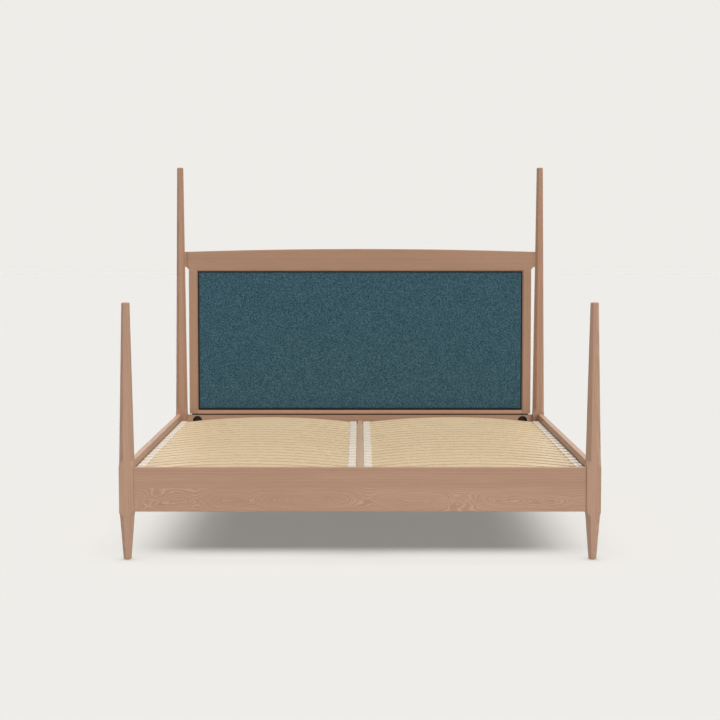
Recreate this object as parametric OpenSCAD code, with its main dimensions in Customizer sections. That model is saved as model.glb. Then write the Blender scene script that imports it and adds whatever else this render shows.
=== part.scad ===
// Four poster bed with short foot posts, tall head posts, an upholstered
// headboard panel and a deck of bowed slats on a centre rail.
// Origin: on the floor at the middle of the bed. +X is the sleeper's side,
// -Y is the foot end, +Y is the head end, +Z is up. Millimetres.

/* [Layout] */
// Distance between the left and right post centres
post_span_x = 1860; // [1500:10:2000]
// Distance between the foot and head post centres
post_span_y = 2106; // [2060:2:2200]

/* [Posts] */
// Width of a post where the rails join it
post_w = 58; // [58:1:76]
// Width across the top of a post
post_top_w = 31; // [30:1:42]
// Width of a leg just above its glide
post_foot_w = 30; // [30:1:42]
// Height of the foot posts
foot_post_h = 1028; // [700:2:1200]
// Height of the head posts
head_post_h = 1649; // [1400:1:2000]
// Height of the sloping stop that ends each long chamfer above the rails
stop_h = 26; // [16:1:40]
// Height of the sloping stop that starts each chamfer of a leg
leg_stop_h = 20; // [12:1:30]
// Thickness of the felt glide under each leg
glide_t = 2; // [2:1:5]

/* [Rails] */
// Height of the top of the rails above the floor
rail_top = 372; // [366:1:373]
// Depth of the foot, head and side rails
rail_h = 177; // [170:1:190]
// Thickness of the rails
rail_t = 26; // [25:1:30]
// How far a rail's outer face sits back from the post's outer face
rail_setback = 6; // [5:1:9]
// How far the head rail lies below the tops of the other rails
head_rail_drop = 6; // [0:1:6]
// Radius along the top edges of the rails
rail_round = 3; // [2:1:8]
// Radius of the round bolt pockets at the rail ends
pocket_r = 24.5; // [22:0.5:25]
// Distance from a post to the centre of a bolt pocket
pocket_in = 52; // [48:1:60]

/* [Slat deck] */
// Number of slats on each side of the centre rail
slat_count = 20; // [14:1:20]
// Distance from one slat to the next
slat_pitch = 98; // [80:1:98]
// Width of a slat
slat_w = 63; // [50:1:66]
// Thickness of a slat
slat_t = 8; // [7:1:9]
// Rise of a slat's bow at its middle
slat_bow = 24; // [8:1:24]
// How far the row of slats is shifted towards the foot
slat_shift = 15; // [0:1:20]
// Height of the tops of the slat holders below the rail top
holder_drop = 30; // [28:1:40]

/* [Centre support] */
// Width of the centre rail
centre_w = 25; // [24:1:34]
// Depth of the centre rail
centre_h = 120; // [100:1:130]
// Distance of the centre leg from the middle, towards the head
leg_y = 200; // [-400:10:400]
// Width of the centre leg
leg_w = 42; // [40:1:50]

/* [Headboard] */
// Height of the underside of the headboard
board_z0 = 373; // [373:1:388]
// Height of the panel opening's lower edge
open_z0 = 391; // [391:1:430]
// Height of the panel opening's upper edge
open_z1 = 1115; // [900:1:1118]
// Height of the top rail at its ends
top_z_end = 1215; // [1210:1:1240]
// Extra height of the top rail at its middle
top_crown = 15; // [4:1:24]
// Thickness of the headboard frame
board_t = 32; // [30:1:34]
// Distance between the outer edges of the two stiles
board_w = 1776; // [1416:2:1776]
// Width of a stile
stile_w = 45; // [42:1:60]

/* [Hidden] */
$fn = 48;
eps = 0.01;

// Finishes
oak = [0.70, 0.56, 0.46];
birch = [0.84, 0.75, 0.60];
deal = [0.78, 0.66, 0.50];
plastic_white = [0.90, 0.87, 0.80];
steel = [0.72, 0.73, 0.75];
black_steel = [0.06, 0.06, 0.06];
felt = [0.45, 0.36, 0.28];
rubber = [0.08, 0.08, 0.08];
teal = [0.24, 0.36, 0.39];

// Posts
post_x = post_span_x / 2;
post_y = post_span_y / 2;
half_w = post_w / 2;
octagon_cut = 2 - sqrt(2);
arris = 1;
rail_z0 = rail_top - rail_h;
post_taper_z = rail_top + stop_h / 2;
tip_ease = 4;
tip_bulge = 0.3 * tip_ease;
glide_r = 11;

// Rails
rail_off = half_w - rail_setback - rail_t / 2;
end_rail_y = post_y + rail_off;
side_rail_x = post_x + rail_off;
head_rail_top = rail_top - head_rail_drop;
end_rail_half = post_x - half_w;
side_rail_half = post_y - half_w;
side_face_x = side_rail_x - rail_t / 2;
end_face_y = end_rail_y - rail_t / 2;
rail_under_round = 3;
pocket_depth = rail_t - 4;

// Bolted joints between the rails and the posts, in a corner's own frame
end_bolt_z = [rail_top - 37, rail_z0 + 36];
end_dowel_z = [rail_z0 + 88];
side_bolt_z = [rail_z0 + 48];
side_dowel_z = [rail_z0 + 18, rail_top - 51];
stud_r = 4;
stud_in_post = 26;
stud_past_pocket = 16;
bolt_clear = 0.1;
dowel_r = 5;
dowel_in_post = 24;
dowel_in_rail = 26;
dowel_gap = 0.5;
washer_t = 6;
washer_w = 16;
nut_r = 7.5;
nut_t = 6.5;

// Slat deck
holder_top = rail_top - holder_drop;
holder_skin = 3;
holder_h = slat_t + 2 * holder_skin;
holder_z0 = holder_top - holder_h;
holder_x = 32;
holder_y = slat_w + 7;
holder_wall = 4;
holder_round = 5;
holder_gap = 5;
slat_fit = 0.2;
slat_end_gap = 1;
outer_holder_x = side_face_x - holder_gap;
inner_holder_x = centre_w / 2 + holder_gap;
slat_x0 = inner_holder_x + holder_wall + slat_end_gap;
slat_x1 = outer_holder_x - holder_wall - slat_end_gap;
slat_len = slat_x1 - slat_x0;
slat_steps = 24;
first_slat_y = -slat_shift - (slat_count - 1) / 2 * slat_pitch;
peg_r = 4;
peg_h = 12;
peg_fit = 0.05;

// Ledgers
ledger_t = 30;
ledger_h = 40;
ledger_len = (slat_count - 1) * slat_pitch + slat_w + 36;
ledger_z0 = holder_z0 - ledger_h;
ledger_screw_count = 5;
ledger_screw_in = 80;
ledger_screw_z = ledger_z0 + 14;
ledger_screw_len = 46;
centre_screw_len = 40;
centre_screw_stagger = 30;
screw_r = 2.2;
screw_head_r = 4.4;
pan_head_h = 1.8;
screw_fit = 0.1;

// Centre rail, its brackets and its leg
centre_top = holder_top - 1;
centre_z0 = centre_top - centre_h;
bracket_t = 2.5;
bracket_depth = 40;
bracket_plate_half = 42;
bracket_plate_h = 80;
bracket_cheek_h = 60;
bracket_screw_x = 32;
bracket_screw_z = [centre_z0 + 15, centre_z0 + 55];
bracket_screw_len = 24;
leg_bottom = 18;
leg_chamfer = 4;
plate_t = 3;
plate_l = 110;
plate_screw_y = 42;
plate_screw_len = 36;
insert_r = 6;
insert_flange_r = 10;
insert_flange_t = 2;
insert_h = 20;
stem_r = 4;
stem_fit = 0.05;
stem_top = 58;
leg_bore_top = 72;
foot_r = 18;
foot_h = 8;

// Headboard
board_half = board_w / 2;
board_y0 = post_y - board_t / 2;
board_y1 = post_y + board_t / 2;
open_half = board_half - stile_w;
open_bevel = 7;
rebate_w = 10;
pad_board_t = 9;
back_panel_t = 3;
rebate_y = board_y1 - pad_board_t - back_panel_t;
rebate_gap = 0.5;
ear_t = 15;
ear_z0 = open_z1 + 9;
ear_slope = 13;
ear_thin_run = 14;
ear_reach = 30;
top_edge_ease = 3;
crown_steps = 24;
tenon_t = 10;
tenon_y = board_y0 + 10;
stile_tenon_w = 22;
stile_tenon_h = 40;
rail_tenon_h = 12;
rail_tenon_l = 25;
tenon_gap = 0.2;
pin_r = 4;
pin_z = open_z1 + 67;
pin_in = 28;
pin_out = 20;
pad_gap_side = 5.5;
pad_gap_top = 7;
pad_gap_bottom = 9;
pad_proud = 3;
pad_ease = 12;
strip_t = board_z0 - head_rail_top;
strip_y0 = end_face_y + 3;
strip_w = 14;
strip_half = board_half - 10;
board_dowel_r = 4;
board_dowel_y = post_y + 7;
board_dowel_x = [-600, 0, 600];
board_dowel_up = 8;
board_dowel_down = 20;
panel_screw_cols = 5;
panel_screw_rows = 2;
panel_screw_len = 21;

// ---------------------------------------------------------------- helpers

// Half width of a post of height h at height z above its long taper's start
function taper_half(h, z) =
    half_w - (half_w - post_top_w / 2) * (z - post_taper_z) / (h - post_taper_z);

// Height of a shallow arc of the given chord and rise above its ends, at x
function arc_rise(chord, rise, x) =
    let (r = (chord * chord / 4 + rise * rise) / (2 * rise))
    sqrt(r * r - x * x) - (r - rise);

// One ring of eight points: a square of half width a with its corners cut by c
function ring(a, c, z) = [
    [a, a - c, z], [a - c, a, z], [c - a, a, z], [-a, a - c, z],
    [-a, c - a, z], [c - a, -a, z], [a - c, -a, z], [a, c - a, z]
];

// Solid through a stack of rings that all have the same number of points
module loft(rings) {
    n = len(rings[0]);
    last = len(rings) - 1;
    sides = [
        for (i = [0 : last - 1], j = [0 : n - 1])
            let (k = (j + 1) % n)
            [i * n + j, (i + 1) * n + j, (i + 1) * n + k, i * n + k]
    ];
    bottom = [for (j = [0 : n - 1]) j];
    top = [for (j = [n - 1 : -1 : 0]) last * n + j];
    polyhedron([for (r = rings) each r], concat([bottom], sides, [top]));
}

// Rectangle from (x0, y0) to (x1, y1) with radius r1 above and r0 below
module round_rect(x0, y0, x1, y1, r0, r1) {
    translate([x0, y0 + r0]) square([x1 - x0, y1 - y0 - r0 - r1]);
    translate([x0 + r0, y0]) square([x1 - x0 - 2 * r0, r0 + eps]);
    translate([x0 + r1, y1 - r1 - eps]) square([x1 - x0 - 2 * r1, r1 + eps]);
    for (x = [x0 + r0, x1 - r0]) translate([x, y0 + r0]) circle(r0);
    for (x = [x0 + r1, x1 - r1]) translate([x, y1 - r1]) circle(r1);
}

// Box between two corners
module block(low, high) {
    translate(low) cube(high - low);
}

// Cylinder along X from x0 to x1
module rod_x(x0, x1, r) {
    translate([x0, 0, 0]) rotate([0, 90, 0]) cylinder(h = x1 - x0, r = r);
}

// Countersunk screw or its hole: head flush at the origin, pointing along -Z
module screw(length, grow = 0) {
    head_h = screw_head_r - screw_r;
    translate([0, 0, -length]) cylinder(h = length - eps, r = screw_r + grow);
    translate([0, 0, -head_h]) cylinder(h = head_h, r1 = screw_r + grow, r2 = screw_head_r + grow);
}

// Pan-headed screw or its hole: head on the surface at the origin, pointing along -Z
module pan_screw(length, grow = 0) {
    translate([0, 0, -length]) cylinder(h = length, r = screw_r + grow);
    cylinder(h = pan_head_h, r = screw_head_r + grow);
}

// Places the head-right corner's own frame at any corner: the post's inner
// faces look along -X and -Y there
module corner(sx, sy) {
    translate([sx * post_x, sy * post_y, 0])
        mirror([sx < 0 ? 1 : 0, 0, 0])
            mirror([0, sy < 0 ? 1 : 0, 0])
                children();
}

// Turns a joint made for an end rail into one for a side rail
module swap_xy() {
    mirror([1, -1, 0]) children();
}

// --------------------------------------------------- rail to post joints

// Everything in this group is in a corner's own frame, for a rail along X

module stud(z) {
    far_x = -half_w - pocket_in + pocket_r - stud_past_pocket;
    translate([0, rail_off, z]) rod_x(far_x, -half_w + stud_in_post, stud_r);
}

module washer(z) {
    wall_x = -half_w - pocket_in + pocket_r;
    difference() {
        intersection() {
            translate([-half_w - pocket_in, rail_off, z])
                rotate([90, 0, 0])
                    cylinder(h = washer_w, r = pocket_r - bolt_clear, center = true);
            translate([wall_x - washer_t, rail_off - pocket_r, z - pocket_r])
                cube([washer_t + 1, 2 * pocket_r, 2 * pocket_r]);
        }
        translate([0, rail_off, z]) rod_x(wall_x - washer_t - 1, wall_x + 1, stud_r + bolt_clear);
    }
}

module nut(z) {
    x1 = -half_w - pocket_in + pocket_r - washer_t;
    translate([0, rail_off, z])
        difference() {
            translate([x1 - nut_t, 0, 0]) rotate([0, 90, 0]) cylinder(h = nut_t, r = nut_r, $fn = 6);
            rod_x(x1 - nut_t - 1, x1 + 1, stud_r + bolt_clear);
        }
}

module dowel(z) {
    translate([0, rail_off, z])
        rod_x(-half_w - dowel_in_rail, -half_w + dowel_in_post, dowel_r);
}

module joint_holes(bolts, dowels) {
    for (z = bolts)
        translate([0, rail_off, z]) {
            rod_x(-half_w - pocket_in, -half_w + stud_in_post + 1, stud_r + bolt_clear);
            translate([-half_w - pocket_in, pocket_depth - rail_t / 2, 0])
                rotate([90, 0, 0])
                    cylinder(h = pocket_depth + 1, r = pocket_r);
        }
    for (z = dowels)
        translate([0, rail_off, z])
            rod_x(
                -half_w - dowel_in_rail - dowel_gap,
                -half_w + dowel_in_post + dowel_gap,
                dowel_r + bolt_clear
            );
}

module corner_holes() {
    joint_holes(end_bolt_z, end_dowel_z);
    swap_xy() joint_holes(side_bolt_z, side_dowel_z);
}

module each_corner() {
    for (sx = [-1, 1], sy = [-1, 1]) corner(sx, sy) children();
}

// ------------------------------------------------------------------ posts

// Square where the rails meet it, a tapered octagon above and below
module post_body(h) {
    foot_a = post_foot_w / 2;
    leg_oct_z = rail_z0 - leg_stop_h;
    leg_oct_a = half_w - (half_w - foot_a) * leg_stop_h / (rail_z0 - glide_t);
    post_oct_z = rail_top + stop_h;
    post_oct_a = taper_half(h, post_oct_z);
    tip_a = taper_half(h, h);
    loft([
        ring(foot_a - 1, foot_a * octagon_cut, glide_t),
        ring(foot_a, foot_a * octagon_cut, glide_t + 1),
        ring(leg_oct_a, leg_oct_a * octagon_cut, leg_oct_z),
        ring(half_w, arris, rail_z0),
        ring(half_w, arris, rail_top),
        ring(post_oct_a, post_oct_a * octagon_cut, post_oct_z),
        ring(tip_a, tip_a * octagon_cut, h - tip_ease),
        ring(tip_a - tip_bulge, (tip_a - tip_bulge) * octagon_cut, h - tip_bulge),
        ring(tip_a - tip_ease, (tip_a - tip_ease) * octagon_cut, h)
    ]);
}

module foot_post(sx) {
    color(oak)
        corner(sx, -1)
            difference() {
                post_body(foot_post_h);
                corner_holes();
            }
}

module head_post(sx) {
    pin_end = pin_out - taper_half(head_post_h, pin_z);
    color(oak)
        corner(sx, 1)
            difference() {
                post_body(head_post_h);
                corner_holes();
                translate([0, 0, pin_z]) rod_x(-half_w, pin_end + 1, pin_r + bolt_clear);
            }
}

module felt_glides() {
    color(felt) each_corner() cylinder(h = glide_t, r = glide_r);
}

// ------------------------------------------------------------------ rails

module rail_section(top) {
    round_rect(-rail_t / 2, rail_z0, rail_t / 2, top, rail_under_round, rail_round);
}

module end_rail(sy) {
    difference() {
        translate([0, sy * end_rail_y, 0])
            rotate([90, 0, 90])
                linear_extrude(2 * end_rail_half, center = true)
                    rail_section(sy > 0 ? head_rail_top : rail_top);
        for (sx = [-1, 1]) corner(sx, sy) joint_holes(end_bolt_z, end_dowel_z);
        translate([0, sy * end_face_y, 0]) bracket_screw_set(sy, screw_fit);
        if (sy > 0) board_dowel_set(0.5, bolt_clear);
    }
}

module foot_rail() {
    color(oak) end_rail(-1);
}

module head_rail() {
    color(oak) end_rail(1);
}

module side_rail(sx) {
    color(oak)
        difference() {
            translate([sx * side_rail_x, 0, 0])
                rotate([90, 0, 0])
                    linear_extrude(2 * side_rail_half, center = true)
                        rail_section(rail_top);
            for (sy = [-1, 1]) corner(sx, sy) swap_xy() joint_holes(side_bolt_z, side_dowel_z);
            ledger_screw_row(sx, side_face_x - ledger_t, 1, ledger_screw_len, 0, screw_fit);
        }
}

module rail_dowels() {
    color(birch)
        each_corner() {
            for (z = end_dowel_z) dowel(z);
            swap_xy() for (z = side_dowel_z) dowel(z);
        }
}

module rail_studs() {
    color(black_steel)
        each_corner() {
            for (z = end_bolt_z) stud(z);
            swap_xy() for (z = side_bolt_z) stud(z);
        }
}

module half_moon_washers() {
    color(black_steel)
        each_corner() {
            for (z = end_bolt_z) washer(z);
            swap_xy() for (z = side_bolt_z) washer(z);
        }
}

module rail_nuts() {
    color(black_steel)
        each_corner() {
            for (z = end_bolt_z) nut(z);
            swap_xy() for (z = side_bolt_z) nut(z);
        }
}

// --------------------------------------------------------------- ledgers

// Row of screws along a ledger: heads at x on side sx, driven along +X (dir 1)
// or -X (dir -1) of that side
module ledger_screw_row(sx, x, dir, length, stagger, grow = 0) {
    step = (ledger_len - 2 * ledger_screw_in) / (ledger_screw_count - 1);
    first = stagger - slat_shift - (ledger_screw_count - 1) / 2 * step;
    for (i = [0 : ledger_screw_count - 1])
        translate([sx * x, first + i * step, ledger_screw_z])
            rotate([0, -sx * dir * 90, 0])
                screw(length, grow);
}

module peg_holes(x) {
    for (i = [0 : slat_count - 1])
        translate([x, first_slat_y + i * slat_pitch, holder_z0 - peg_h - 1])
            cylinder(h = peg_h + 2, r = peg_r + peg_fit);
}

module ledger_bar(sx, x0) {
    block(
        [min(sx * x0, sx * (x0 + ledger_t)), -slat_shift - ledger_len / 2, ledger_z0],
        [max(sx * x0, sx * (x0 + ledger_t)), -slat_shift + ledger_len / 2, holder_z0]
    );
}

module side_ledger(sx) {
    x0 = side_face_x - ledger_t;
    color(deal)
        difference() {
            ledger_bar(sx, x0);
            peg_holes(sx * (outer_holder_x - holder_x / 2));
            ledger_screw_row(sx, x0, 1, ledger_screw_len, 0, screw_fit);
        }
}

module centre_ledger(sx) {
    x0 = centre_w / 2;
    color(deal)
        difference() {
            ledger_bar(sx, x0);
            peg_holes(sx * (inner_holder_x + holder_x / 2));
            ledger_screw_row(sx, x0 + ledger_t, -1, centre_screw_len, sx * centre_screw_stagger, screw_fit);
        }
}

module centre_ledger_screws(grow = 0) {
    for (sx = [-1, 1])
        ledger_screw_row(
            sx, centre_w / 2 + ledger_t, -1, centre_screw_len, sx * centre_screw_stagger, grow
        );
}

module ledger_screws() {
    color(steel) {
        for (sx = [-1, 1]) ledger_screw_row(sx, side_face_x - ledger_t, 1, ledger_screw_len, 0);
        centre_ledger_screws();
    }
}

// ------------------------------------------------ slats and their holders

module slat() {
    arc_chord = slat_len - 2 * (holder_x - holder_wall);
    under = concat(
        [[-slat_len / 2, 0]],
        [
            for (i = [0 : slat_steps])
                let (x = (i / slat_steps - 0.5) * arc_chord)
                [x, arc_rise(arc_chord, slat_bow, x)]
        ],
        [[slat_len / 2, 0]]
    );
    over = [for (i = [len(under) - 1 : -1 : 0]) under[i] + [0, slat_t]];
    rotate([90, 0, 0])
        linear_extrude(slat_w, center = true)
            polygon(concat(under, over));
}

module slat_row(sx) {
    color(birch)
        for (i = [0 : slat_count - 1])
            translate([
                sx * (slat_x0 + slat_x1) / 2,
                first_slat_y + i * slat_pitch,
                holder_z0 + holder_skin
            ])
                slat();
}

// Plastic cap over a slat's end, closed at x = 0 and open along +X
module slat_holder() {
    difference() {
        translate([0, -holder_y / 2, 0])
            linear_extrude(holder_h) {
                square([holder_x - holder_round, holder_y]);
                translate([0, holder_round]) square([holder_x, holder_y - 2 * holder_round]);
                for (y = [holder_round, holder_y - holder_round])
                    translate([holder_x - holder_round, y]) circle(holder_round);
            }
        block(
            [holder_wall, -slat_w / 2 - slat_fit, holder_skin - slat_fit],
            [holder_x + 1, slat_w / 2 + slat_fit, holder_skin + slat_t + slat_fit]
        );
    }
    translate([holder_x / 2, 0, -peg_h]) cylinder(h = peg_h + 1, r = peg_r);
}

// Row of holders whose closed ends are at x and whose mouths face dir
module holder_row(x, dir) {
    color(plastic_white)
        for (i = [0 : slat_count - 1])
            translate([x, first_slat_y + i * slat_pitch, holder_z0])
                rotate([0, 0, dir > 0 ? 0 : 180])
                    slat_holder();
}

// ---------------------------------------------------------- centre support

module centre_rail() {
    end_y = end_face_y - bracket_t;
    color(oak)
        difference() {
            block([-centre_w / 2, -end_y, centre_z0], [centre_w / 2, end_y, centre_top]);
            centre_ledger_screws(screw_fit);
            leg_screw_set(screw_fit);
        }
}

// Four screws through a bracket's plate; sy is the end of the bed
module bracket_screw_set(sy, grow = 0) {
    for (sx = [-1, 1], z = bracket_screw_z)
        translate([sx * bracket_screw_x, -sy * bracket_t, z])
            rotate([sy * 90, 0, 0])
                screw(bracket_screw_len, grow);
}

// Steel stirrup that carries one end of the centre rail
module centre_bracket(sy) {
    inner = centre_w / 2;
    outer = inner + bracket_t;
    color(steel)
        difference() {
            translate([0, sy * end_face_y, 0])
                mirror([0, sy < 0 ? 1 : 0, 0]) {
                    block(
                        [-bracket_plate_half, -bracket_t, centre_z0 - bracket_t],
                        [bracket_plate_half, 0, centre_z0 + bracket_plate_h]
                    );
                    block(
                        [-outer, -bracket_depth, centre_z0 - bracket_t],
                        [outer, 0, centre_z0]
                    );
                    for (sx = [-1, 1])
                        block(
                            [sx < 0 ? -outer : inner, -bracket_depth, centre_z0 - bracket_t],
                            [sx < 0 ? -inner : outer, 0, centre_z0 + bracket_cheek_h]
                        );
                }
            translate([0, sy * end_face_y, 0]) bracket_screw_set(sy, screw_fit);
        }
}

module bracket_screws() {
    color(steel)
        for (sy = [-1, 1]) translate([0, sy * end_face_y, 0]) bracket_screw_set(sy);
}

// Two screws up through the leg's plate and one down into the leg
module leg_screw_set(grow = 0) {
    plate_z = centre_z0 - plate_t;
    for (s = [-1, 1])
        translate([0, leg_y + s * plate_screw_y, plate_z])
            rotate([180, 0, 0])
                screw(plate_screw_len, grow);
}

module leg_plate() {
    color(steel)
        difference() {
            block(
                [-leg_w / 2, leg_y - plate_l / 2, centre_z0 - plate_t],
                [leg_w / 2, leg_y + plate_l / 2, centre_z0]
            );
            leg_screw_set(screw_fit);
            leg_top_screw(screw_fit);
        }
}

module leg_top_screw(grow = 0) {
    translate([0, leg_y, centre_z0]) screw(plate_screw_len, grow);
}

module leg_screws() {
    color(steel) {
        leg_screw_set();
        leg_top_screw();
    }
}

module centre_leg() {
    color(oak)
        difference() {
            translate([0, leg_y, 0])
                loft([
                    ring(leg_w / 2, leg_chamfer, leg_bottom),
                    ring(leg_w / 2, leg_chamfer, centre_z0 - plate_t)
                ]);
            translate([0, leg_y, leg_bottom - 1]) cylinder(h = insert_h + 1, r = insert_r + stem_fit);
            translate([0, leg_y, leg_bottom]) cylinder(h = leg_bore_top - leg_bottom, r = stem_r + 1);
            leg_top_screw(screw_fit);
        }
}

// Threaded insert in the foot of the leg
module leg_insert() {
    color(steel)
        translate([0, leg_y, leg_bottom - insert_flange_t])
            difference() {
                union() {
                    cylinder(h = insert_flange_t, r = insert_flange_r);
                    cylinder(h = insert_flange_t + insert_h - 1, r = insert_r);
                }
                translate([0, 0, -1]) cylinder(h = insert_h + 4, r = stem_r + stem_fit);
            }
}

module levelling_foot() {
    color(rubber)
        translate([0, leg_y, 0]) {
            cylinder(h = 2, r1 = foot_r - 1, r2 = foot_r);
            translate([0, 0, 2]) cylinder(h = foot_h - 4, r = foot_r);
            translate([0, 0, foot_h - 2]) cylinder(h = 2, r1 = foot_r, r2 = foot_r - 6);
            cylinder(h = stem_top, r = stem_r);
        }
}

// --------------------------------------------------------------- headboard

// Panel opening, its bevelled front arris and the rebate behind it
module opening_cuts() {
    block([-open_half, board_y0 - 1, open_z0], [open_half, board_y1 + 1, open_z1]);
    translate([0, board_y0, 0])
        loft([
            bevel_ring(open_bevel + 1, -1),
            bevel_ring(0, open_bevel)
        ]);
    block(
        [-open_half - rebate_w, rebate_y, open_z0 - rebate_w],
        [open_half + rebate_w, board_y1 + 1, open_z1 + rebate_w]
    );
}

function bevel_ring(grow, y) = [
    [-open_half - grow, y, open_z0 - grow], [-open_half - grow, y, open_z1 + grow],
    [open_half + grow, y, open_z1 + grow], [open_half + grow, y, open_z0 - grow]
];

// Outline of the top rail at depth y, its upper edge lowered by drop
function top_rail_ring(y, drop) =
    let (
        low_x = post_x - taper_half(head_post_h, open_z1),
        high_x = post_x - taper_half(head_post_h, top_z_end - drop),
        crown = [
            for (i = [crown_steps : -1 : 0])
                let (x = (i / crown_steps - 0.5) * 2 * high_x)
                [x, y, top_z_end - drop + arc_rise(2 * high_x, top_crown, x)]
        ]
    )
    concat([[-low_x, y, open_z1]], [for (i = [crown_steps : -1 : 0]) crown[i]], [[low_x, y, open_z1]]);

// Cuts under the ear that reaches from the rail to the post, and into its two faces
module ear_cuts() {
    far = board_half + ear_reach;
    for (sx = [-1, 1])
        mirror([sx < 0 ? 1 : 0, 0, 0]) {
            translate([0, board_y1 + 1, 0])
                rotate([90, 0, 0])
                    linear_extrude(board_t + 2)
                        polygon([
                            [board_half, open_z1 - 1],
                            [board_half, ear_z0],
                            [board_half + ear_slope, ear_z0 + ear_slope],
                            [far, ear_z0 + ear_slope],
                            [far, open_z1 - 1]
                        ]);
            for (sy = [-1, 1])
                translate([0, post_y, open_z1 - 1])
                    linear_extrude(top_z_end + top_crown)
                        polygon([
                            [board_half, sy * (board_t / 2 + 1)],
                            [board_half, sy * board_t / 2],
                            [board_half + ear_thin_run, sy * ear_t / 2],
                            [far, sy * ear_t / 2],
                            [far, sy * (board_t / 2 + 1)]
                        ]);
        }
}

module stile_tenon(sx, grow = 0) {
    x = board_half - stile_w / 2;
    block(
        [sx * x - stile_tenon_w / 2 - grow, tenon_y - grow, open_z1 - 1],
        [sx * x + stile_tenon_w / 2 + grow, tenon_y + tenon_t + grow, open_z1 + stile_tenon_h + grow]
    );
}

module rail_tenon(sx, grow = 0) {
    z = (board_z0 + open_z0) / 2;
    x0 = open_half - 1;
    x1 = open_half + rail_tenon_l + grow;
    block(
        [sx < 0 ? -x1 : x0, tenon_y - grow, z - rail_tenon_h / 2 - grow],
        [sx < 0 ? -x0 : x1, tenon_y + tenon_t + grow, z + rail_tenon_h / 2 + grow]
    );
}

module ear_pin(sx, grow = 0) {
    end_x = post_x - taper_half(head_post_h, pin_z);
    translate([0, post_y, pin_z])
        mirror([sx < 0 ? 1 : 0, 0, 0])
            rod_x(end_x - pin_in - grow, end_x + pin_out, pin_r + grow);
}

module board_dowel_set(gap = 0, grow = 0) {
    for (x = board_dowel_x)
        translate([x, board_dowel_y, head_rail_top - board_dowel_down - gap])
            cylinder(h = board_dowel_down + strip_t + board_dowel_up + 2 * gap, r = board_dowel_r + grow);
}

module panel_screw_set(grow = 0) {
    lip = rebate_w / 2;
    col_step = 2 * open_half / panel_screw_cols;
    row_step = (open_z1 - open_z0) / (panel_screw_rows + 1);
    spots = concat(
        [for (i = [0 : panel_screw_cols - 1], z = [open_z0 - lip, open_z1 + lip])
            [(i - (panel_screw_cols - 1) / 2) * col_step, z]],
        [for (i = [1 : panel_screw_rows], sx = [-1, 1])
            [sx * (open_half + lip), open_z0 + i * row_step]]
    );
    for (p = spots)
        translate([p[0], board_y1, p[1]])
            rotate([-90, 0, 0])
                pan_screw(panel_screw_len, grow);
}

module headboard_top_rail() {
    color(oak)
        difference() {
            loft([
                top_rail_ring(board_y0, top_edge_ease),
                top_rail_ring(board_y0 + top_edge_ease, 0),
                top_rail_ring(board_y1 - top_edge_ease, 0),
                top_rail_ring(board_y1, top_edge_ease)
            ]);
            opening_cuts();
            ear_cuts();
            for (sx = [-1, 1]) {
                stile_tenon(sx, tenon_gap);
                ear_pin(sx, bolt_clear);
            }
            panel_screw_set(screw_fit);
        }
}

module headboard_stile(sx) {
    color(oak) {
        difference() {
            block(
                [sx < 0 ? -board_half : open_half, board_y0, board_z0],
                [sx < 0 ? -open_half : board_half, board_y1, open_z1]
            );
            opening_cuts();
            rail_tenon(sx, tenon_gap);
            panel_screw_set(screw_fit);
        }
        stile_tenon(sx);
    }
}

module headboard_bottom_rail() {
    color(oak) {
        difference() {
            block([-open_half, board_y0, board_z0], [open_half, board_y1, open_z0]);
            opening_cuts();
            board_dowel_set(0.5, bolt_clear);
            panel_screw_set(screw_fit);
        }
        for (sx = [-1, 1]) rail_tenon(sx);
    }
}

// Foam and fabric pad: a plain block with an eased front edge
module headboard_pad() {
    half = open_half - pad_gap_side;
    z0 = open_z0 + pad_gap_bottom;
    z1 = open_z1 - pad_gap_top;
    y0 = board_y0 - pad_proud;
    color(teal)
        hull() {
            block([-half, y0 + pad_ease, z0], [half, rebate_y, z1]);
            block([-half + pad_ease, y0, z0 + pad_ease], [half - pad_ease, rebate_y, z1 - pad_ease]);
        }
}

module rebate_sheet(y0, y1) {
    w = open_half + rebate_w - rebate_gap;
    block(
        [-w, y0, open_z0 - rebate_w + rebate_gap],
        [w, y1, open_z1 + rebate_w - rebate_gap]
    );
}

module headboard_pad_board() {
    color(birch)
        difference() {
            rebate_sheet(rebate_y, rebate_y + pad_board_t);
            panel_screw_set(screw_fit);
        }
}

module headboard_back_panel() {
    color(oak)
        difference() {
            rebate_sheet(rebate_y + pad_board_t, board_y1);
            panel_screw_set(screw_fit);
        }
}

// Felt strip between the headboard and the head rail
module headboard_packing_strip() {
    color(felt)
        difference() {
            block([-strip_half, strip_y0, head_rail_top], [strip_half, strip_y0 + strip_w, board_z0]);
            board_dowel_set(0.5, bolt_clear);
        }
}

module headboard_pins() {
    color(steel) for (sx = [-1, 1]) ear_pin(sx);
}

module headboard_dowels() {
    color(birch) board_dowel_set();
}

module panel_screws() {
    color(steel) panel_screw_set();
}

// ------------------------------------------------------------------ output

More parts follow.
